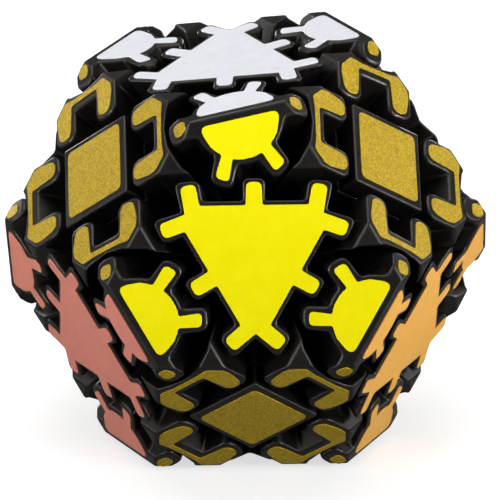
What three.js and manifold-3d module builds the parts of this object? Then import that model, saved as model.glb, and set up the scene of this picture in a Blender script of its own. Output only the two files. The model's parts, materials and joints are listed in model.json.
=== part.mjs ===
// A geared twisty puzzle in the shape of a truncated octahedron: six square faces, eight hexagonal faces.
//
// Puzzle axes: x, y and z run through the square faces, and the corner pieces sit on the diagonals.
// Every gear tooth is a bar whose sides run through the puzzle's centre, like the teeth of a bevel gear
// with its apex there, so tooth sizes are given as a section one unit above the centre.
// A turn about x moves three groups: the front layer (+x), the middle slice and the back layer (-x).
// Units are millimetres, and the finished part stands on one hexagonal face with +Z up.

import * as THREE from "three";
import { mergeVertices } from "three/addons/utils/BufferGeometryUtils.js";
import Module from "manifold-3d";

const wasm = await Module();
wasm.setup();

// Driving sizes
const ACROSS_SQUARES = 76;
const ACROSS_HEXAGONS = 73.15;
const CELL = ACROSS_SQUARES / 4;
const REST_TURN = THREE.MathUtils.degToRad(7.2);

// Cuts between the layers: outside the spherical shell, and inside it where the feet are
const SLICE_EDGE = 0.46 * CELL;
const LAYER_EDGE = 0.49 * CELL;
const SLICE_FOOT_EDGE = 0.32 * CELL;
const LAYER_FOOT_EDGE = 0.345 * CELL;
const SHELL_INNER = 0.935 * CELL;
const FOOT_OUTER = 1.155 * CELL;
const BLOCK_INNER = 1.205 * CELL;
const SHELL_SEGMENTS = 16;
const CAVITY_SEGMENTS = 20;
const ROUND_STEPS = 3;
const BEYOND = 3 * CELL;

// Gears and gear rings, as ratios to the height above the centre
const GEAR_TEETH = 6;
const GEAR_TIP = 0.3136;
const GEAR_ROOT = 0.2;
const GEAR_TOOTH_HALF = 0.055;
const GEAR_TIP_ROUND = 0.035;
const CAVITY = 0.335;
const RING_TEETH = 20;
const RING_TIP = 0.26;
const RING_TOOTH_HALF = 0.058;
const RING_TIP_ROUND = 0.03;
const CORNER_ROOT = 0.372;
const HOOK_ROOT = 0.42;
const HOOK_LOBE_HALF = 0.0735;
const HOOK_TIP_ROUND = 0.05;
const PITCH_RATIO = 0.3;
const TOOTH_DEPTH = 0.45;

// Edge gear and its bracket, as heights above the centre
const BRACKET_PLATE_TOP = 1.42 * CELL;
const GEAR_BOTTOM = 1.45 * CELL;
const RING_SPACE_BOTTOM = 1.37 * CELL;
const SPINDLE_RADIUS = 0.14 * CELL;
const SPINDLE_BORE = 0.162 * CELL;
const BARB_RADIUS = 0.185 * CELL;
const BARB_RECESS = 0.215 * CELL;
const BARB_TOP = 1.02 * CELL;
const BARB_BOTTOM = 0.955 * CELL;
const PLATE_BOTTOM = 1.04 * CELL;

// Centre body, cap, screw, spring and core
const CAP_HALF = 0.44 * CELL;
const CAP_THICKNESS = 0.24 * CELL;
const PART_GAP = 0.018 * CELL;
const BLOCK_FOOT = 1.15 * CELL;
const NECK_BOTTOM = 0.8 * CELL;
const WELL_RADIUS = 0.22 * CELL;
const WELL_FLOOR = 1.02 * CELL;
const FLOOR_HOLE = 0.09 * CELL;
const BOSS_RADIUS = 0.2 * CELL;
const BOSS_DEPTH = 0.15 * CELL;
const SHANK_RADIUS = 0.07 * CELL;
const SHANK_END = 0.34 * CELL;
const HEAD_RADIUS = 0.17 * CELL;
const HEAD_BOTTOM = 1.42 * CELL;
const HEAD_TOP = 1.55 * CELL;
const SLOT_WIDTH = 0.05 * CELL;
const SLOT_DEPTH = 0.05 * CELL;
const SPRING_RADIUS = 0.13 * CELL;
const WIRE_RADIUS = 0.024 * CELL;
const SPRING_TURNS = 3;
const SPRING_STEPS = 27;
const WIRE_SIDES = 4;
const CORE_HALF = 0.34 * CELL;
const CORE_DIAGONAL = 0.8 * CELL;
const ARM_RADIUS = 0.2 * CELL;
const ARM_END = 0.72 * CELL;
const ARM_BORE = 0.088 * CELL;
const ARM_BORE_END = 0.3 * CELL;
const ROUND_SEGMENTS = 12;

const MERGE_DISTANCE = 1e-4;
const FLATNESS = 0.004;
const X = new THREE.Vector3(1, 0, 0);
const Y = new THREE.Vector3(0, 1, 0);
const Z = new THREE.Vector3(0, 0, 1);

// ---- Solids ----

// A closed geometry as a solid that can be joined and cut.
function solid(geometry) {
  const bare = geometry.index ? geometry.toNonIndexed() : geometry.clone();
  bare.deleteAttribute("normal");
  bare.deleteAttribute("uv");
  const merged = mergeVertices(bare, MERGE_DISTANCE);
  return new wasm.Manifold(
    new wasm.Mesh({
      numProp: 3,
      vertProperties: merged.attributes.position.array,
      triVerts: new Uint32Array(merged.index.array),
    }),
  );
}

// A solid as a flat-shaded geometry, with its coplanar faces merged.
function geometryOf(made) {
  const { numProp, vertProperties, triVerts } = made.asOriginal().simplify(FLATNESS).getMesh();
  const positions = new Float32Array(triVerts.length * 3);
  triVerts.forEach((vertex, i) => {
    const start = vertex * numProp;
    positions.set(vertProperties.subarray(start, start + 3), i * 3);
  });
  const geometry = new THREE.BufferGeometry();
  geometry.setAttribute("position", new THREE.BufferAttribute(positions, 3));
  geometry.computeVertexNormals();
  return geometry;
}

function box(low, high) {
  const size = high.clone().sub(low);
  const middle = high.clone().add(low).multiplyScalar(0.5);
  return solid(new THREE.BoxGeometry(size.x, size.y, size.z).translate(middle.x, middle.y, middle.z));
}

function ball(radius) {
  return solid(new THREE.SphereGeometry(radius, SHELL_SEGMENTS, SHELL_SEGMENTS / 2));
}

// The half of space beyond a plane through the centre, on the side of its normal.
function halfSpace(normal) {
  const block = new THREE.BoxGeometry(2 * BEYOND, 2 * BEYOND, 2 * BEYOND).translate(0, 0, BEYOND);
  const turn = new THREE.Quaternion().setFromUnitVectors(Z, normal.clone().normalize());
  return solid(block.applyQuaternion(turn));
}

// The frame whose z axis points outward and whose x axis is the given side direction.
function outwardFrame(outward, side) {
  const z = outward.clone().normalize();
  const x = side.clone().addScaledVector(z, -side.dot(z)).normalize();
  return new THREE.Matrix4().makeBasis(x, z.clone().cross(x), z);
}

// A bar whose sides run through the puzzle's centre; outline is its section one unit above the centre.
function taperedBar(outline, low, high, frame) {
  const bar = new THREE.ExtrudeGeometry(new THREE.Shape(outline), { depth: 1, bevelEnabled: false });
  const position = bar.attributes.position;
  for (let i = 0; i < position.count; i++) {
    const height = low + position.getZ(i) * (high - low);
    position.setXYZ(i, position.getX(i) * height, position.getY(i) * height, height);
  }
  return solid(bar.applyMatrix4(frame));
}

// A round solid about an outward frame's z axis, from [radius, height] pairs that start and end on the axis.
function turned(profile, frame, segments = ROUND_SEGMENTS) {
  const points = profile.map(([radius, height]) => new THREE.Vector2(radius, height));
  return solid(new THREE.LatheGeometry(points, segments).rotateX(Math.PI / 2).applyMatrix4(frame));
}

function rod(radius, low, high, frame, segments = ROUND_SEGMENTS) {
  return turned([[0, low], [radius, low], [radius, high], [0, high]], frame, segments);
}

// ---- Outlines ----

// Points on the arc about (x, y) from one angle to another.
function arc(x, y, radius, from, to, steps) {
  return Array.from({ length: steps + 1 }, (_, i) => {
    const angle = from + ((to - from) * i) / steps;
    return new THREE.Vector2(x + radius * Math.cos(angle), y + radius * Math.sin(angle));
  });
}

// A tooth that points along -x with rounded tip corners, from its tip to its base.
function toothOutline(halfWidth, tip, base, round) {
  return [
    ...arc(tip + round, round - halfWidth, round, Math.PI, 1.5 * Math.PI, ROUND_STEPS).reverse(),
    ...arc(tip + round, halfWidth - round, round, 0.5 * Math.PI, Math.PI, ROUND_STEPS).reverse(),
    new THREE.Vector2(base, halfWidth),
    new THREE.Vector2(base, -halfWidth),
  ];
}

function gearOutline() {
  const points = [];
  const rootAngle = Math.asin(GEAR_TOOTH_HALF / GEAR_ROOT);
  const pitch = (2 * Math.PI) / GEAR_TEETH;
  const inset = GEAR_TIP - GEAR_TIP_ROUND;
  const offset = GEAR_TOOTH_HALF - GEAR_TIP_ROUND;
  for (let tooth = 0; tooth < GEAR_TEETH; tooth++) {
    const middle = (tooth + 0.5) * pitch;
    const tip = [
      ...arc(inset, -offset, GEAR_TIP_ROUND, -Math.PI / 2, 0, ROUND_STEPS),
      ...arc(inset, offset, GEAR_TIP_ROUND, 0, Math.PI / 2, ROUND_STEPS),
    ];
    tip.forEach((point) => points.push(point.rotateAround(new THREE.Vector2(), middle)));
    points.push(...arc(0, 0, GEAR_ROOT, middle + rootAngle, middle + pitch - rootAngle, ROUND_STEPS));
  }
  return points;
}

// ---- The whole shape ----

const wholeShape = box(
  new THREE.Vector3(-1, -1, -1).multiplyScalar(ACROSS_SQUARES / 2),
  new THREE.Vector3(1, 1, 1).multiplyScalar(ACROSS_SQUARES / 2),
).intersect(solid(new THREE.OctahedronGeometry((ACROSS_HEXAGONS / 2) * Math.sqrt(3))));

const insideShell = ball(SHELL_INNER);
const footZone = ball(FOOT_OUTER).subtract(insideShell);
const outsideShell = wholeShape.subtract(ball(BLOCK_INNER));
const EDGE_OUT = new THREE.Vector3(0, 1, 1).normalize();
const EDGE_FRAME = outwardFrame(EDGE_OUT, X);
const RING_PITCH = (2 * Math.PI) / RING_TEETH;

// The outer flank of a corner's outer tooth, as a slope from the nearer axis
const NOTCH_SLOPE = Math.tan(Math.PI / 4 - RING_PITCH - Math.atan(RING_TOOTH_HALF));

// A piece from its block outside the shell, its foot inside it, and the neck that joins the two.
function shellPiece(block, foot) {
  return block
    .intersect(outsideShell)
    .add(foot.intersect(footZone))
    .add(block.intersect(foot).intersect(wholeShape).subtract(insideShell));
}

// ---- Corner piece, on the diagonal (1, 1, 1) ----

function cornerPiece() {
  const far = new THREE.Vector3(BEYOND, BEYOND, BEYOND);
  const cube = box(new THREE.Vector3(LAYER_EDGE, LAYER_EDGE, LAYER_EDGE), far);
  const foot = box(new THREE.Vector3(LAYER_FOOT_EDGE, LAYER_FOOT_EDGE, LAYER_FOOT_EDGE), far);
  const axes = [X, Y, Z];
  let body = cube;
  let teeth = null;
  axes.forEach((axis, i) => {
    const [second, third] = [axes[(i + 1) % 3], axes[(i + 2) % 3]];
    const across = second.clone().add(third).normalize();
    const notch = halfSpace(axis.clone().multiplyScalar(NOTCH_SLOPE).sub(second))
      .intersect(halfSpace(axis.clone().multiplyScalar(NOTCH_SLOPE).sub(third)));
    body = body
      .intersect(halfSpace(axis.clone().addScaledVector(across, -CORNER_ROOT)))
      .subtract(notch);
    for (const place of [-1, 0, 1]) {
      const outward = across.clone().applyAxisAngle(axis, place * RING_PITCH);
      const outline = toothOutline(RING_TOOTH_HALF, RING_TIP, TOOTH_DEPTH, RING_TIP_ROUND);
      const tooth = taperedBar(outline, CELL, BEYOND, outwardFrame(outward, axis));
      teeth = teeth ? teeth.add(tooth) : tooth;
    }
  });
  return shellPiece(body.add(teeth.intersect(cube)), foot);
}

// ---- Edge bracket, on the diagonal (0, 1, 1) ----

function bracketPiece() {
  const slab = box(
    new THREE.Vector3(-SLICE_EDGE, LAYER_EDGE, LAYER_EDGE),
    new THREE.Vector3(SLICE_EDGE, BEYOND, BEYOND),
  );
  const foot = box(
    new THREE.Vector3(-SLICE_FOOT_EDGE, LAYER_FOOT_EDGE, LAYER_FOOT_EDGE),
    new THREE.Vector3(SLICE_FOOT_EDGE, BEYOND, BEYOND),
  );
  const ringSpace = [
    new THREE.Vector2(0, -1),
    new THREE.Vector2(HOOK_ROOT, -1),
    new THREE.Vector2(HOOK_ROOT, 1),
    new THREE.Vector2(0, 1),
  ];
  const lobe = toothOutline(HOOK_LOBE_HALF, RING_TIP, TOOTH_DEPTH, HOOK_TIP_ROUND);
  let body = slab;
  for (const [outward, axis] of [[Z, Y], [Y, Z]]) {
    body = body.subtract(taperedBar(ringSpace, RING_SPACE_BOTTOM, BEYOND, outwardFrame(outward, axis)));
    for (const side of [-0.5, 0.5]) {
      const lobeOut = outward.clone().applyAxisAngle(axis, side * RING_PITCH);
      body = body.add(taperedBar(lobe, CELL, BEYOND, outwardFrame(lobeOut, axis)).intersect(slab));
    }
  }
  const cavity = arc(0, 0, CAVITY, 0, 2 * Math.PI, CAVITY_SEGMENTS).slice(1);
  body = body.subtract(taperedBar(cavity, BRACKET_PLATE_TOP, BEYOND, EDGE_FRAME));
  return shellPiece(body, foot)
    .subtract(rod(SPINDLE_BORE, 0, BEYOND, EDGE_FRAME))
    .subtract(rod(BARB_RECESS, 0, PLATE_BOTTOM, EDGE_FRAME));
}

// ---- Edge gear, on the diagonal (0, 1, 1) ----

function gearPiece() {
  const wheel = taperedBar(gearOutline(), GEAR_BOTTOM, BEYOND, EDGE_FRAME).intersect(wholeShape);
  const spindle = turned(
    [
      [0, BARB_BOTTOM],
      [SPINDLE_RADIUS, BARB_BOTTOM],
      [BARB_RADIUS, BARB_TOP],
      [SPINDLE_RADIUS, BARB_TOP],
      [SPINDLE_RADIUS, GEAR_BOTTOM + CELL / 4],
      [0, GEAR_BOTTOM + CELL / 4],
    ],
    EDGE_FRAME,
  );
  return wheel.add(spindle);
}

// ---- Centre pieces, on the z axis ----

const CENTRE_FRAME = new THREE.Matrix4();
const FACE_HEIGHT = ACROSS_SQUARES / 2;
const BODY_TOP = FACE_HEIGHT - CAP_THICKNESS - PART_GAP;

function squareBlock(lowHalf, highHalf, low, high) {
  const geometry = new THREE.CylinderGeometry(highHalf * Math.SQRT2, lowHalf * Math.SQRT2, high - low, 4, 1);
  return solid(geometry.rotateY(Math.PI / 4).rotateX(Math.PI / 2).translate(0, 0, (low + high) / 2));
}

function centreBody() {
  const block = squareBlock(SLICE_EDGE, CAP_HALF, BLOCK_FOOT, BODY_TOP).subtract(ball(BLOCK_INNER));
  const neck = squareBlock(SLICE_FOOT_EDGE, SLICE_FOOT_EDGE, NECK_BOTTOM, BLOCK_INNER + 2 * PART_GAP);
  return block
    .add(neck)
    .subtract(rod(WELL_RADIUS, WELL_FLOOR, FACE_HEIGHT, CENTRE_FRAME))
    .subtract(rod(FLOOR_HOLE, 0, FACE_HEIGHT, CENTRE_FRAME));
}

function centreCap() {
  const underside = FACE_HEIGHT - CAP_THICKNESS;
  const tile = squareBlock(CAP_HALF, CAP_HALF, underside, FACE_HEIGHT);
  const boss = rod(BOSS_RADIUS, underside - BOSS_DEPTH, underside + CAP_THICKNESS / 2, CENTRE_FRAME);
  return tile.add(boss);
}

function screwPiece() {
  const screw = turned(
    [
      [0, SHANK_END],
      [SHANK_RADIUS, SHANK_END],
      [SHANK_RADIUS, HEAD_BOTTOM],
      [HEAD_RADIUS, HEAD_BOTTOM],
      [HEAD_RADIUS, HEAD_TOP],
      [0, HEAD_TOP],
    ],
    CENTRE_FRAME,
  );
  const slots = [X, Y].map((axis) => {
    const reach = axis.clone().multiplyScalar(HEAD_RADIUS * 0.7).addScalar(SLOT_WIDTH / 2);
    const low = new THREE.Vector3(-reach.x, -reach.y, HEAD_TOP - SLOT_DEPTH);
    return box(low, new THREE.Vector3(reach.x, reach.y, HEAD_TOP + SLOT_DEPTH));
  });
  return screw.subtract(slots[0].add(slots[1]));
}

class Helix extends THREE.Curve {
  constructor(radius, low, high, turns) {
    super();
    Object.assign(this, { radius, low, high, turns });
  }
  getPoint(t, target = new THREE.Vector3()) {
    const angle = 2 * Math.PI * this.turns * t;
    const height = this.low + (this.high - this.low) * t;
    return target.set(this.radius * Math.cos(angle), this.radius * Math.sin(angle), height);
  }
}

function springPiece() {
  const clearance = WIRE_RADIUS + PART_GAP;
  const path = new Helix(SPRING_RADIUS, WELL_FLOOR + clearance, HEAD_BOTTOM - clearance, SPRING_TURNS);
  const wire = new THREE.Shape(arc(0, 0, WIRE_RADIUS, 0, 2 * Math.PI, WIRE_SIDES).slice(1));
  return solid(new THREE.ExtrudeGeometry(wire, { steps: SPRING_STEPS, extrudePath: path }));
}

function corePiece() {
  const cubeCorner = new THREE.Vector3(CORE_HALF, CORE_HALF, CORE_HALF);
  let core = box(cubeCorner.clone().negate(), cubeCorner)
    .intersect(solid(new THREE.OctahedronGeometry(CORE_DIAGONAL)));
  let bores = null;
  for (const axis of [X, Y, Z]) {
    for (const side of [-1, 1]) {
      const frame = outwardFrame(axis.clone().multiplyScalar(side), axis === X ? Y : X);
      core = core.add(rod(ARM_RADIUS, 0, ARM_END, frame));
      const bore = rod(ARM_BORE, ARM_BORE_END, BEYOND, frame);
      bores = bores ? bores.add(bore) : bore;
    }
  }
  return core.subtract(bores);
}

// ---- Assembly ----

const plastic = (color) => new THREE.MeshStandardMaterial({ color, roughness: 0.28, metalness: 0 });
const metal = (color) => new THREE.MeshStandardMaterial({ color, roughness: 0.35, metalness: 1 });
const BLACK = 0x0c0c0d;
const STEEL = 0x9a9ca0;
const BRASS = 0xb08d3a;

const pieces = {
  core: geometryOf(corePiece()),
  centre_body: geometryOf(centreBody()),
  centre_cap: geometryOf(centreCap()),
  screw: geometryOf(screwPiece()),
  spring: geometryOf(springPiece()),
  corner: geometryOf(cornerPiece()),
  bracket: geometryOf(bracketPiece()),
  gear: geometryOf(gearPiece()),
};

const puzzle = new THREE.Group();
const frontLayer = new THREE.Group();
const middleSlice = new THREE.Group();
const backLayer = new THREE.Group();
middleSlice.rotation.x = REST_TURN / 2;
backLayer.rotation.x = REST_TURN;
puzzle.add(frontLayer, middleSlice, backLayer);

function layerOf(x) {
  if (x > 0) return frontLayer;
  return x < 0 ? backLayer : middleSlice;
}

// The rotation that takes the direction pair (outward, side) to another such pair.
function turnBetween(outward, side, newOutward, newSide) {
  const from = outwardFrame(outward, side).invert();
  return new THREE.Quaternion().setFromRotationMatrix(outwardFrame(newOutward, newSide).multiply(from));
}

function place(group, name, kind, material, turn) {
  const mesh = new THREE.Mesh(pieces[kind], material);
  mesh.name = name;
  mesh.quaternion.copy(turn);
  group.add(mesh);
}

place(middleSlice, "core", "core", plastic(BLACK), new THREE.Quaternion());

const CENTRES = {
  front: [1, 0, 0],
  rear: [-1, 0, 0],
  right_upper: [0, 1, 0],
  left_lower: [0, -1, 0],
  left_upper: [0, 0, 1],
  right_lower: [0, 0, -1],
};
for (const [where, direction] of Object.entries(CENTRES)) {
  const outward = new THREE.Vector3(...direction);
  const turn = turnBetween(Z, X, outward, outward.x ? Y : X);
  const layer = layerOf(outward.x);
  place(layer, `centre_body_${where}`, "centre_body", plastic(BLACK), turn);
  place(layer, `centre_cap_${where}`, "centre_cap", plastic(BLACK), turn);
  place(middleSlice, `screw_${where}`, "screw", metal(STEEL), turn);
  place(middleSlice, `spring_${where}`, "spring", metal(BRASS), turn);
}

// Corner colours, by the signs of x, y and z
const COLOURS = {
  "1,1,1": "yellow",
  "-1,1,1": "white",
  "1,-1,1": "red",
  "1,1,-1": "orange",
  "1,-1,-1": "green",
  "-1,-1,1": "blue",
  "-1,1,-1": "purple",
  "-1,-1,-1": "pink",
};
const DIAGONAL = new THREE.Vector3(1, 1, 1);
for (const [signs, colour] of Object.entries(COLOURS)) {
  const outward = new THREE.Vector3(...signs.split(",").map(Number));
  const turn = turnBetween(DIAGONAL, X, outward, X.clone().multiplyScalar(outward.x));
  place(layerOf(outward.x), `corner_${colour}`, "corner", plastic(BLACK), turn);
}

// An edge is named after the two corners it lies between. Its gear stands in its own group, so that the
// gears of the middle slice can be spun about their own axes.
const GEAR_SPIN = REST_TURN / 2 / PITCH_RATIO;
for (const free of [X, Y, Z]) {
  const others = [X, Y, Z].filter((axis) => axis !== free);
  for (const [first, second] of [[1, 1], [1, -1], [-1, 1], [-1, -1]]) {
    const outward = others[0].clone().multiplyScalar(first).addScaledVector(others[1], second);
    const corners = [1, -1].map((side) => outward.clone().addScaledVector(free, side));
    const colours = corners.map((corner) => COLOURS[corner.toArray().join(",")]);
    const name = colours.join("_");
    const turn = turnBetween(EDGE_OUT, X, outward, free);
    const layer = layerOf(outward.x);
    place(layer, `bracket_${name}`, "bracket", plastic(BLACK), turn);
    const spinner = new THREE.Group();
    if (layer === middleSlice) spinner.setRotationFromAxisAngle(outward.clone().normalize(), GEAR_SPIN);
    layer.add(spinner);
    place(spinner, `gear_${name}`, "gear", plastic(BLACK), turn);
  }
}

// Stand the puzzle on the hexagonal face of the corner (1, -1, -1), with the corner (1, 1, 1) to the front.
const up = new THREE.Vector3(-1, 1, 1).normalize();
const front = new THREE.Vector3(2, 1, 1).normalize();
const right = up.clone().cross(front);
const standing = new THREE.Matrix4().makeBasis(right, front.clone().negate(), up).transpose();
puzzle.quaternion.setFromRotationMatrix(standing);

// The origin is the middle of the footprint, at the height of the lowest point.
const extent = new THREE.Box3().setFromObject(puzzle, true);
const middle = extent.getCenter(new THREE.Vector3());
puzzle.position.set(-middle.x, -middle.y, -extent.min.z);

const group = new THREE.Group();
group.add(puzzle);

export default group;
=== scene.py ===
"""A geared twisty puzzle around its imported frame.

The frame's solids get rounded edges and a material of plastic or steel.
Stickers, floor, backdrop, lights and camera are added.
"""

import json
import math

import bmesh
import bpy
from mathutils import Matrix, Vector


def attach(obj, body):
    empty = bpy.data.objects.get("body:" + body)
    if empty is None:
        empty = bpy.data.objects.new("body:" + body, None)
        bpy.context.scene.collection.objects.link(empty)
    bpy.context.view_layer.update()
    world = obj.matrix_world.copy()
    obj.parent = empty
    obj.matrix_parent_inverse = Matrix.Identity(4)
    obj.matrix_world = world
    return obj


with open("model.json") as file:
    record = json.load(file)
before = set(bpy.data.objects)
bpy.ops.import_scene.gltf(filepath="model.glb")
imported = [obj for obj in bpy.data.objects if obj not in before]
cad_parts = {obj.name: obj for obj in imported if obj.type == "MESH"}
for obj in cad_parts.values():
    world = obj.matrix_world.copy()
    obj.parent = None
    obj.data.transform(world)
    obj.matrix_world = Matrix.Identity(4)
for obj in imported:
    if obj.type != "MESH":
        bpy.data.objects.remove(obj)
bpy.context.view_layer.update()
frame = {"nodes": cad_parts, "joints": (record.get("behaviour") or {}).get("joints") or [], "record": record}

MM = 0.001
CELL = 19 * MM
# Distances of the two kinds of face from the puzzle's centre.
SQUARE_FACE = 2 * CELL
HEX_FACE = 73.15 / 2 * MM
# The angle between the two outer layers at rest.
REST_TURN = math.radians(7.2)
# Six teeth on a gear to twenty tooth places round a layer.
GEAR_RATIO = 0.3
CENTRE = Vector(frame["joints"][0]["pos_m"])
BODIES = frame["record"]["behaviour"]["bodies"]
BODY_OF = {node: body for body, nodes in BODIES.items() for node in nodes}

X, Y, Z = Vector((1, 0, 0)), Vector((0, 1, 0)), Vector((0, 0, 1))
DIAGONAL = Vector((1, 1, 1)).normalized()
EDGE_OUT = Vector((0, 1, 1)).normalized()

# ---- Materials ----


class Nodes:
    """A material's node tree, with short ways to add and link nodes."""

    def __init__(self, name):
        self.material = bpy.data.materials.new(name)
        self.material.use_nodes = True
        self.tree = self.material.node_tree
        self.shader = self.tree.nodes["Principled BSDF"]
        self.place = self.add("ShaderNodeTexCoord").outputs["Object"]

    def add(self, kind, **values):
        node = self.tree.nodes.new(kind)
        for key, value in values.items():
            setattr(node, key, value)
        return node

    def link(self, source, target):
        self.tree.links.new(source, target)

    def noise(self, scale, detail, roughness=0.5):
        node = self.add("ShaderNodeTexNoise")
        node.inputs["Scale"].default_value = scale
        node.inputs["Detail"].default_value = detail
        node.inputs["Roughness"].default_value = roughness
        self.link(self.place, node.inputs["Vector"])
        return node.outputs["Fac"]

    def cells(self, scale):
        """Cells that each have a colour of their own."""
        node = self.add("ShaderNodeTexVoronoi")
        node.inputs["Scale"].default_value = scale
        self.link(self.place, node.inputs["Vector"])
        return node.outputs["Color"]

    def spread(self, value, low, high, from_low=0.0, from_high=1.0):
        """value, moved from one range to another and held inside it."""
        node = self.add("ShaderNodeMapRange")
        self.link(value, node.inputs["Value"])
        node.inputs["From Min"].default_value = from_low
        node.inputs["From Max"].default_value = from_high
        node.inputs["To Min"].default_value = low
        node.inputs["To Max"].default_value = high
        return node.outputs["Result"]

    def blend_colour(self, factor, first, second):
        node = self.add("ShaderNodeMix", data_type="RGBA")
        self.link(factor, node.inputs["Factor"])
        for socket, colour in (("A", first), ("B", second)):
            target = next(s for s in node.inputs if s.name == socket and s.type == "RGBA")
            if isinstance(colour, tuple):
                target.default_value = (*colour, 1)
            else:
                self.link(colour, target)
        return next(s for s in node.outputs if s.type == "RGBA")

    def bump(self, height, strength, distance, below=None):
        node = self.add("ShaderNodeBump")
        node.inputs["Strength"].default_value = strength
        node.inputs["Distance"].default_value = distance
        self.link(height, node.inputs["Height"])
        if below:
            self.link(below, node.inputs["Normal"])
        return node.outputs["Normal"]

    def set(self, **values):
        for key, value in values.items():
            self.shader.inputs[key.replace("_", " ")].default_value = value


def black_plastic(name, base, rough, coat=0.15):
    """Glossy moulded plastic: a faint mould texture, finger haze and a little dust."""
    n = Nodes(name)
    haze = n.noise(scale=90, detail=3.0, roughness=0.6)
    fine = n.noise(scale=2600, detail=2.0, roughness=0.6)
    dust = n.spread(n.noise(scale=1500, detail=1.0), low=0.0, high=1.0, from_low=0.72, from_high=0.8)
    smooth, hazy = rough - 0.06, rough + 0.12
    n.link(n.spread(haze, smooth, hazy, from_low=0.3, from_high=0.7), n.shader.inputs["Roughness"])
    dusty = tuple(2.6 * c + 0.004 for c in base)
    n.link(n.blend_colour(dust, base, dusty), n.shader.inputs["Base Color"])
    n.link(n.bump(fine, strength=0.12, distance=0.00004), n.shader.inputs["Normal"])
    n.set(Specular_IOR_Level=0.45, Specular_Tint=(1, 0.95, 0.88, 1))
    n.set(Coat_Weight=coat, Coat_Roughness=0.12, Coat_Tint=(1, 0.96, 0.9, 1))
    return n.material


def vinyl(name, colour, rough=0.32, gloss=0.25):
    """A coloured vinyl sticker: an even colour with slight ink mottling and an orange-peel surface."""
    n = Nodes(name)
    ink = n.noise(scale=320, detail=4.0, roughness=0.65)
    mottle = n.spread(ink, low=0.0, high=1.0, from_low=0.35, from_high=0.65)
    darker = tuple(0.98 * c for c in colour)
    lighter = tuple(min(1.0, 1.03 * c + 0.004) for c in colour)
    n.link(n.blend_colour(mottle, darker, lighter), n.shader.inputs["Base Color"])
    scuff = n.noise(scale=140, detail=5.0, roughness=0.7)
    smooth, scuffed = rough - 0.03, rough + 0.08
    n.link(n.spread(scuff, smooth, scuffed, from_low=0.35, from_high=0.75), n.shader.inputs["Roughness"])
    peel = n.bump(n.noise(scale=700, detail=2.0), strength=0.08, distance=0.0001)
    grain = n.bump(n.noise(scale=4200, detail=2.0), strength=0.05, distance=0.00003, below=peel)
    n.link(grain, n.shader.inputs["Normal"])
    n.set(Specular_IOR_Level=gloss)
    return n.material


def gold_foil(name, colour):
    """Matt gold foil with a grain of flakes that each catch the light differently."""
    n = Nodes(name)
    fine = n.cells(scale=5200)
    coarse = n.cells(scale=3300)
    dark = tuple(0.58 * c for c in colour)
    bright = tuple(min(1.0, 1.42 * c) for c in colour)
    fine_share = n.spread(fine, low=0.0, high=1.0, from_low=0.15, from_high=0.85)
    coarse_share = n.spread(coarse, low=0.0, high=1.0, from_low=0.1, from_high=0.9)
    flakes = n.blend_colour(fine_share, dark, bright)
    patches = n.blend_colour(coarse_share, dark, bright)
    share = n.spread(n.noise(scale=260, detail=3.0), low=0.35, high=0.65)
    n.link(n.blend_colour(share, flakes, patches), n.shader.inputs["Base Color"])
    n.link(n.spread(fine, low=0.34, high=0.6), n.shader.inputs["Roughness"])
    grain = n.bump(n.noise(scale=3000, detail=3.0, roughness=0.7), strength=0.4, distance=0.00007)
    relief = n.bump(coarse, strength=0.25, distance=0.00005, below=grain)
    n.link(relief, n.shader.inputs["Normal"])
    n.set(Metallic=0.4, Specular_IOR_Level=0.2)
    return n.material


def steel(name, colour):
    """Lightly scratched steel."""
    n = Nodes(name)
    scratches = n.noise(scale=900, detail=4.0, roughness=0.7)
    darker = tuple(0.8 * c for c in colour)
    n.link(n.blend_colour(scratches, darker, colour), n.shader.inputs["Base Color"])
    n.link(n.spread(scratches, low=0.2, high=0.42), n.shader.inputs["Roughness"])
    n.link(n.bump(scratches, strength=0.15, distance=0.00004), n.shader.inputs["Normal"])
    n.set(Metallic=1.0)
    return n.material


PLASTIC = {
    "corner": black_plastic("corner_plastic", (0.0052, 0.0045, 0.0041), rough=0.27),
    "bracket": black_plastic("bracket_plastic", (0.0046, 0.0040, 0.0036), rough=0.3),
    "gear": black_plastic("gear_plastic", (0.0056, 0.0049, 0.0045), rough=0.24),
    "centre": black_plastic("centre_plastic", (0.0048, 0.0042, 0.0038), rough=0.27),
    "core": black_plastic("core_plastic", (0.010, 0.0095, 0.009), rough=0.4),
}
# Lighter than the pieces' own black: a highlight painted onto the rounded edges, with a rougher surface and
# less coat.
PAINTED_EDGE_HIGHLIGHT = black_plastic("painted_edge_highlight", (0.0075, 0.0068, 0.0061), rough=0.36, coat=0.05)
METAL = {
    "screw": steel("screw_steel", (0.55, 0.56, 0.58)),
    "spring": steel("spring_wire", (0.62, 0.62, 0.64)),
}
STICKER = {
    "gold": gold_foil("sticker_gold", (0.50, 0.34, 0.022)),
    "yellow": vinyl("sticker_yellow", (0.74, 0.665, 0.0), rough=0.34, gloss=0.08),
    "white": vinyl("sticker_white", (0.81, 0.825, 0.87), rough=0.3),
    "red": vinyl("sticker_red", (0.86, 0.295, 0.215)),
    "orange": vinyl("sticker_orange", (1.0, 0.50, 0.095)),
    "green": vinyl("sticker_green", (0.02, 0.34, 0.09)),
    "blue": vinyl("sticker_blue", (0.015, 0.10, 0.46)),
    "purple": vinyl("sticker_purple", (0.19, 0.045, 0.36)),
    "pink": vinyl("sticker_pink", (0.80, 0.17, 0.36)),
}

# ---- Moulded pieces: the frame's solids with rounded edges ----

# Edge roundings in millimetres; the springs have none. The outer pieces' rounded edges also get a lighter
# colour, a painted highlight, on a rougher surface.
EDGE_ROUNDING = {"corner": 0.5, "bracket": 0.5, "gear": 0.5, "centre": 0.5, "core": 0.5, "screw": 0.1}
KINDS_WITH_PAINTED_EDGE_HIGHLIGHT = ("corner", "bracket", "gear", "centre")
PAINTED_HIGHLIGHT_SLOT = 1
WELD_DISTANCE = 0.02 * MM
FLAT_WITHIN = math.radians(1)
SHARP_FROM = math.radians(48)
ROUNDING_SEGMENTS = 3


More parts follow.
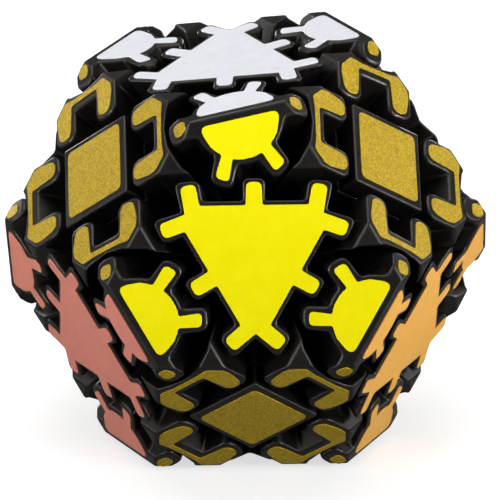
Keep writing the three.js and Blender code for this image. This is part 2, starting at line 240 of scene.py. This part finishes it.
def soften(node, kind):
    """Merges a faceted solid's flat faces and rounds its edges, as a mould does."""
    for polygon in node.data.polygons:
        polygon.use_smooth = True
    weld = node.modifiers.new("weld", "WELD")
    weld.merge_threshold = WELD_DISTANCE
    flatten = node.modifiers.new("flatten", "DECIMATE")
    flatten.decimate_type = "DISSOLVE"
    flatten.angle_limit = FLAT_WITHIN
    if kind in EDGE_ROUNDING:
        rounding = node.modifiers.new("rounding", "BEVEL")
        rounding.width = EDGE_ROUNDING[kind] * MM
        rounding.segments = ROUNDING_SEGMENTS
        rounding.limit_method = "ANGLE"
        rounding.angle_limit = SHARP_FROM
        rounding.use_clamp_overlap = False
        rounding.miter_outer = "MITER_ARC"
        # The outer pieces' rounded edges take the lighter material, which paints a highlight on them.
        if kind in KINDS_WITH_PAINTED_EDGE_HIGHLIGHT:
            node.data.materials.append(PAINTED_EDGE_HIGHLIGHT)
            rounding.material = PAINTED_HIGHLIGHT_SLOT
    node.modifiers.new("normals", "WEIGHTED_NORMAL")


for node_name, node in frame["nodes"].items():
    node_kind = node_name.split("_")[0]
    node.material_slots[0].material = {**PLASTIC, **METAL}[node_kind]
    soften(node, node_kind)

# ---- Sticker outlines, in cells, as (x, y, rounding) corners ----

ROUND_STEPS = 6
# A rounding takes at most this share of an edge, and one shorter than this many cells is left out.
LONGEST_REACH = 0.49
SHORTEST_REACH = 1e-6


def rounded(corners):
    """An outline with each (x, y, radius) corner rounded; counter-clockwise."""
    points = []
    for i, (x, y, radius) in enumerate(corners):
        here = Vector((x, y))
        before = Vector(corners[i - 1][:2]) - here
        after = Vector(corners[(i + 1) % len(corners)][:2]) - here
        half = before.angle(after) / 2
        reach = radius / math.tan(half) if radius else 0
        reach = min(reach, LONGEST_REACH * before.length, LONGEST_REACH * after.length)
        if reach < SHORTEST_REACH:
            points.append(here)
            continue
        start = here + before.normalized() * reach
        end = here + after.normalized() * reach
        for step in range(ROUND_STEPS + 1):
            t = step / ROUND_STEPS
            curve = start * (1 - t) ** 2 + here * 2 * t * (1 - t) + end * t**2
            points.append(curve)
    return points


def mirrored(right_half):
    """A counter-clockwise outline from its half with x > 0, which runs from bottom to top."""
    return right_half + [(-x, y, radius) for x, y, radius in reversed(right_half)]


def turned(point, degrees):
    """An outline corner, turned counter-clockwise."""
    cos, sin = math.cos(math.radians(degrees)), math.sin(math.radians(degrees))
    x, y, radius = point
    return (x * cos - y * sin, x * sin + y * cos, radius)


def triangle_outline():
    """The three-sided sticker of a corner: three teeth on each side, the outer two leaning out."""
    side, middle_tip, outer_tip = 0.463, 0.685, 0.658
    half, base, notch = 0.074, 0.595, 0.763
    foot = half + 0.006
    lean = math.radians(10.6)
    tip_rounding, root_rounding, notch_rounding = 0.06, 0.025, 0.015
    along = Vector((math.sin(lean), math.cos(lean)))
    across = Vector((math.cos(lean), -math.sin(lean)))
    end = Vector((base, side)) + along * (outer_tip - side) / math.cos(lean)
    outer, inner = end + across * half, end - across * half
    right = [
        (notch * math.cos(math.pi / 6), notch * math.sin(math.pi / 6), notch_rounding),
        (*outer, tip_rounding),
        (*inner, tip_rounding),
        (base - half / math.cos(lean), side, root_rounding),
        (foot, side, root_rounding),
        (half, middle_tip, tip_rounding),
    ]
    upper = right + [(-x, y, radius) for x, y, radius in reversed(right[1:])]
    return rounded([turned(p, 120 * k) for k in range(3) for p in upper])


def gear_outline():
    """One coloured half of an edge gear, in ratios to the height above the centre."""
    straight, half_length, body, tip = 0.0255, 0.174, 0.181, 0.285
    half, neck, end_width = 0.033, 0.025, 0.03
    end_rounding, root_rounding, tip_rounding = 0.042, 0.012, 0.024
    start = math.asin((straight + end_width) / body)
    tooth, middle = math.radians(60), math.radians(90)
    base_angle = math.asin(neck / body)
    # The angles where the tooth leaves the round body.
    before, after = tooth - base_angle, tooth + base_angle

    def at(radius, angle, rounding):
        return (radius * math.sin(angle), radius * math.cos(angle), rounding)

    def tooth_end(sign):
        across = Vector((math.cos(tooth), -math.sin(tooth))) * half * sign
        end = Vector((math.sin(tooth), math.cos(tooth))) * tip
        return end + across

    points = [(straight, half_length, end_rounding)]
    points += [at(body, start + (before - start) * share, 0) for share in (1 / 2, 3 / 4)]
    points += [at(body, before, root_rounding)]
    points += [(*tooth_end(-1), tip_rounding), (*tooth_end(1), tip_rounding)]
    points += [at(body, after, root_rounding)]
    points += [at(body, after + (middle - after) * share, 0) for share in (1 / 3, 2 / 3)]
    whole = points + [(x, -y, radius) for x, y, radius in reversed(points)]
    return rounded(whole[::-1])


def hook_outline():
    """A gold hook: a strip with a lobe at each end, which points to the gold square."""
    right = [
        (0.198, 0.905, 0.035),
        (0.222, 0.562, 0.1),
        (0.386, 0.562, 0.1),
        (0.424, 0.78, 0.12),
        (0.412, 0.862, 0.05),
        (0.3, 0.982, 0.05),
        (0.16, 0.962, 0.1),
    ]
    return rounded(mirrored(right))


def square_outline():
    """The gold square of a centre cap."""
    half, rounding = 0.372, 0.065
    return rounded(mirrored([(half, -half, rounding), (half, half, rounding)]))


def dot_outline():
    """The gold dot on a gear's tooth, in the plane of a square face."""
    return rounded(mirrored([(0.055, 1.125, 0.05), (0.07, 1.19, 0.06), (0.05, 1.275, 0.045)]))


# ---- Sticker meshes, on the pieces nearest the axes (1, 1, 1), (0, 1, 1) and (0, 0, 1) ----

STICKER_THICKNESS = 0.16 * MM
STICKER_SUNK = 0.05 * MM
STICKER_RIM = 0.06 * MM
RIM_STEP = 0.3 * STICKER_RIM


def face_frame(normal, up_hint):
    """Right and up directions on a face."""
    up = (up_hint - normal * up_hint.dot(normal)).normalized()
    return up.cross(normal), up


def on_face(outline, origin, right, up):
    """Lays an outline in cells on a plane."""
    return [origin + (right * p.x + up * p.y) * CELL for p in outline]


def through_gear(outline, side):
    """Casts a gear outline from the centre onto the hexagonal face on that side of x."""
    lateral = EDGE_OUT.cross(X * side)
    face = Vector((side, 1, 1)).normalized()
    points = []
    for p in outline:
        ray = EDGE_OUT + X * side * p.x + lateral * p.y
        points.append(ray * (HEX_FACE / ray.dot(face)))
    return points, face


def plate(name, loop, normal):
    """A thin closed sticker over a face: straight sides, a soft rim and a flat top."""
    centre = sum(loop, Vector()) / len(loop)
    area = sum(((a - centre).cross(b - centre) for a, b in zip(loop, loop[1:] + loop[:1])), Vector())
    if area.dot(normal) < 0:
        loop = loop[::-1]

    def inset(distance):
        moved = []
        for i, point in enumerate(loop):
            along = (loop[(i + 1) % len(loop)] - loop[i - 1]).normalized()
            moved.append(point + normal.cross(along) * distance)
        return moved

    mesh = bmesh.new()
    rings = []
    # Each ring's distance inside the outline and its height above the face.
    levels = (
        (0, -STICKER_SUNK),
        (0, STICKER_THICKNESS - STICKER_RIM),
        (RIM_STEP, STICKER_THICKNESS - RIM_STEP),
        (STICKER_RIM, STICKER_THICKNESS),
    )
    for distance, height in levels:
        rings.append([mesh.verts.new(p + normal * height) for p in inset(distance)])
    for low, high in zip(rings, rings[1:]):
        for i in range(len(low)):
            j = (i + 1) % len(low)
            mesh.faces.new((low[i], low[j], high[j], high[i])).smooth = True
    top = mesh.faces.new(rings[-1])
    bottom = mesh.faces.new(rings[0][::-1])
    mesh.normal_update()
    bmesh.ops.triangulate(mesh, faces=[top, bottom])
    data = bpy.data.meshes.new(name)
    mesh.to_mesh(data)
    mesh.free()
    return data


hex_right, hex_up = face_frame(DIAGONAL, -X)
triangle_loop = on_face(triangle_outline(), DIAGONAL * HEX_FACE, hex_right, hex_up)
top_face = Z * SQUARE_FACE
side_face = Y * SQUARE_FACE
TRIANGLE = [("face", plate("triangle_sticker", triangle_loop, DIAGONAL))]
GEAR_HALVES = [
    ("first", plate("gear_sticker", *through_gear(gear_outline(), 1))),
    ("second", plate("gear_sticker", *through_gear(gear_outline(), -1))),
]
HOOKS = [
    ("upper", plate("hook_sticker", on_face(hook_outline(), top_face, X, Y), Z)),
    ("lower", plate("hook_sticker", on_face(hook_outline(), side_face, X, Z), Y)),
]
DOTS = [
    ("upper", plate("dot_sticker", on_face(dot_outline(), top_face, X, Y), Z)),
    ("lower", plate("dot_sticker", on_face(dot_outline(), side_face, X, Z), Y)),
]
SQUARE = [("face", plate("square_sticker", on_face(square_outline(), top_face, X, Y), Z))]

# ---- Where each piece stands ----

# Turns the puzzle's axes so that the white face is on top and the yellow one in front.
STANDING = Matrix(
    (
        Vector((0, 1, -1)).normalized(),
        -Vector((2, 1, 1)).normalized(),
        Vector((-1, 1, 1)).normalized(),
    )
)


def outward_frame(outward, side):
    """Axes with z outward and x as near to side as it can be."""
    z = outward.normalized()
    x = (side - z * side.dot(z)).normalized()
    return Matrix((x, z.cross(x), z)).transposed()


def stand(outward, side, home_outward, home_side, spins=False):
    """The transform of a piece from its home axis to its place in the turned, standing puzzle."""
    turn = outward_frame(outward, side) @ outward_frame(home_outward, home_side).inverted()
    # The front layer is not turned at rest, the middle slice half as far as the back layer.
    share = {1: 0.0, 0: 0.5, -1: 1.0}[round(outward.x)]
    layer = Matrix.Rotation(REST_TURN * share, 3, X)
    spin = Matrix.Identity(3)
    if spins and round(outward.x) == 0:
        spin = Matrix.Rotation(REST_TURN / 2 / GEAR_RATIO, 3, outward)
    rotation = STANDING @ layer @ spin @ turn
    return Matrix.Translation(CENTRE) @ rotation.to_4x4()


def stick(node, meshes, colours, matrix):
    """Puts the stickers of one CAD node in place, to ride on that node's body."""
    for (part, home), colour in zip(meshes, colours):
        mesh = home.copy()
        mesh.transform(matrix)
        mesh.materials.append(STICKER[colour])
        piece = bpy.data.objects.new(f"sticker_{node}_{part}_{colour}", mesh)
        bpy.context.scene.collection.objects.link(piece)
        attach(piece, BODY_OF[node])


COLOURS = {
    (1, 1, 1): "yellow",
    (-1, 1, 1): "white",
    (1, -1, 1): "red",
    (1, 1, -1): "orange",
    (1, -1, -1): "green",
    (-1, -1, 1): "blue",
    (-1, 1, -1): "purple",
    (-1, -1, -1): "pink",
}
CENTRES = {
    "front": X,
    "rear": -X,
    "right_upper": Y,
    "left_lower": -Y,
    "left_upper": Z,
    "right_lower": -Z,
}

for signs, colour in COLOURS.items():
    outward = Vector(signs)
    stick(f"corner_{colour}", TRIANGLE, [colour], stand(outward, X * signs[0], DIAGONAL, X))

for where, outward in CENTRES.items():
    side = Y if outward.x else X
    stick(f"centre_cap_{where}", SQUARE, ["gold"], stand(outward, side, Z, X))

for free in (X, Y, Z):
    first, second = [axis for axis in (X, Y, Z) if axis != free]
    for signs in ((1, 1), (1, -1), (-1, 1), (-1, -1)):
        outward = first * signs[0] + second * signs[1]
        colours = [COLOURS[tuple(round(c) for c in outward + free * end)] for end in (1, -1)]
        name = "_".join(colours)
        stick(f"bracket_{name}", HOOKS, ["gold", "gold"], stand(outward, free, EDGE_OUT, X))
        spinning = stand(outward, free, EDGE_OUT, X, spins=True)
        stick(f"gear_{name}", GEAR_HALVES, colours, spinning)
        stick(f"gear_{name}", DOTS, ["gold", "gold"], spinning)

# ---- Floor, light and camera ----


def paper(name, tone, glow):
    """White paper that glows evenly, as in a light box."""
    n = Nodes(name)
    n.set(Base_Color=(tone, tone, tone, 1), Roughness=0.8, Specular_IOR_Level=0.1)
    n.set(Emission_Color=(1, 1, 1, 1), Emission_Strength=glow)
    return n.material


def sheet(name, points, faces, material):
    """A piece of the stage, which gives no light to the puzzle."""
    mesh = bpy.data.meshes.new(name)
    mesh.from_pydata(points, [], faces)
    mesh.materials.append(material)
    piece = bpy.data.objects.new(name, mesh)
    bpy.context.scene.collection.objects.link(piece)
    piece.visible_diffuse = False
    piece.visible_glossy = False
    return piece


def floor():
    half = 6.0
    corners = [(-half, -half, 0), (half, -half, 0), (half, half, 0), (-half, half, 0)]
    sheet("floor", corners, [(0, 1, 2, 3)], paper("floor_paper", tone=0.55, glow=0.66))


def backdrop():
    """A white wall all round, far away, for views from low down."""
    sides, radius, height = 48, 5.9, 5.0
    angles = [2 * math.pi * i / sides for i in range(sides)]
    ring = [(radius * math.cos(angle), radius * math.sin(angle)) for angle in angles]
    points = [(x, y, z) for z in (0, height) for x, y in ring]
    faces = [(i, (i + 1) % sides, (i + 1) % sides + sides, i + sides) for i in range(sides)]
    wall = sheet("backdrop", points, faces, paper("backdrop_paper", tone=0.1, glow=1.0))
    wall.visible_shadow = False


WORLD_LIGHT = 0.14
OPEN_SPREAD = 180
GRID_SPREAD = 14
GRID_LIFT = 0.09


def softbox(name, place, size, energy, spread=OPEN_SPREAD, lift=0.0):
    """A softbox of so many watts, aimed at the puzzle's centre or a point above it.

    A small spread, in degrees, makes the light fall off to the sides, as a grid does.
    """
    light = bpy.data.lights.new(name, "AREA")
    light.spread = math.radians(spread)
    light.shape = "RECTANGLE"
    light.size, light.size_y = size
    light.energy = energy
    lamp = bpy.data.objects.new(name, light)
    bpy.context.scene.collection.objects.link(lamp)
    lamp.location = place
    lamp.rotation_euler = (CENTRE + Z * lift - lamp.location).to_track_quat("-Z", "Y").to_euler()


def studio():
    world = bpy.data.worlds.new("studio")
    bpy.context.scene.world = world
    world.use_nodes = True
    background = world.node_tree.nodes["Background"]
    background.inputs["Color"].default_value = (1, 1, 1, 1)
    background.inputs["Strength"].default_value = WORLD_LIGHT
    large, medium = (0.8, 0.8), (0.5, 0.5)
    low, small = (0.5, 0.18), (0.4, 0.2)
    softbox("overhead", Vector((-0.05, 0.1, 0.9)), large, energy=5.1)
    softbox("front_left", Vector((-0.8, -0.6, 0.55)), medium, energy=3.8)
    softbox("front_right", Vector((0.8, -0.65, 0.45)), medium, energy=5.4)
    softbox("low_left", Vector((-0.85, -0.5, 0.1)), low, 0.18, GRID_SPREAD, GRID_LIFT)
    softbox("low_right", Vector((0.85, -0.5, 0.1)), low, 0.29, GRID_SPREAD, GRID_LIFT)
    softbox("back_left", Vector((-0.5, 0.85, 0.14)), small, energy=2.6)
    softbox("back_right", Vector((0.5, 0.85, 0.14)), small, energy=2.6)
    softbox("right_rim", Vector((0.9, 0.3, 0.12)), small, energy=0.8)
    softbox("left_rim", Vector((-0.9, 0.3, 0.12)), small, energy=0.6)
    bpy.context.scene.view_settings.view_transform = "Standard"


VIEW_AZIMUTH = math.radians(-2.4)
VIEW_ELEVATION = math.radians(23.2)
VIEW_ROLL = math.radians(0.1)
VIEW_DISTANCE = 1.12
AIM_RIGHT = 0.6 * MM
AIM_DOWN = 1.7 * MM
# In millimetres, as Blender takes them.
SENSOR_WIDTH = 36
FOCAL_LENGTH = 432
NEAREST, FARTHEST = 0.1, 20


def camera():
    """A long lens in front of the yellow face, a little above it."""
    data = bpy.data.cameras.new("camera")
    data.sensor_width = SENSOR_WIDTH
    data.lens = FOCAL_LENGTH
    data.clip_start, data.clip_end = NEAREST, FARTHEST
    eye = bpy.data.objects.new("camera", data)
    bpy.context.scene.collection.objects.link(eye)
    level, rise = math.cos(VIEW_ELEVATION), math.sin(VIEW_ELEVATION)
    back = Vector((math.sin(VIEW_AZIMUTH) * level, -math.cos(VIEW_AZIMUTH) * level, rise))
    turn = back.to_track_quat("Z", "Y").to_matrix() @ Matrix.Rotation(VIEW_ROLL, 3, "Z")
    aim = CENTRE + turn @ Vector((AIM_RIGHT, -AIM_DOWN, 0))
    eye.matrix_world = Matrix.Translation(aim + back * VIEW_DISTANCE) @ turn.to_4x4()
    bpy.context.scene.camera = eye


floor()
backdrop()
studio()
camera()
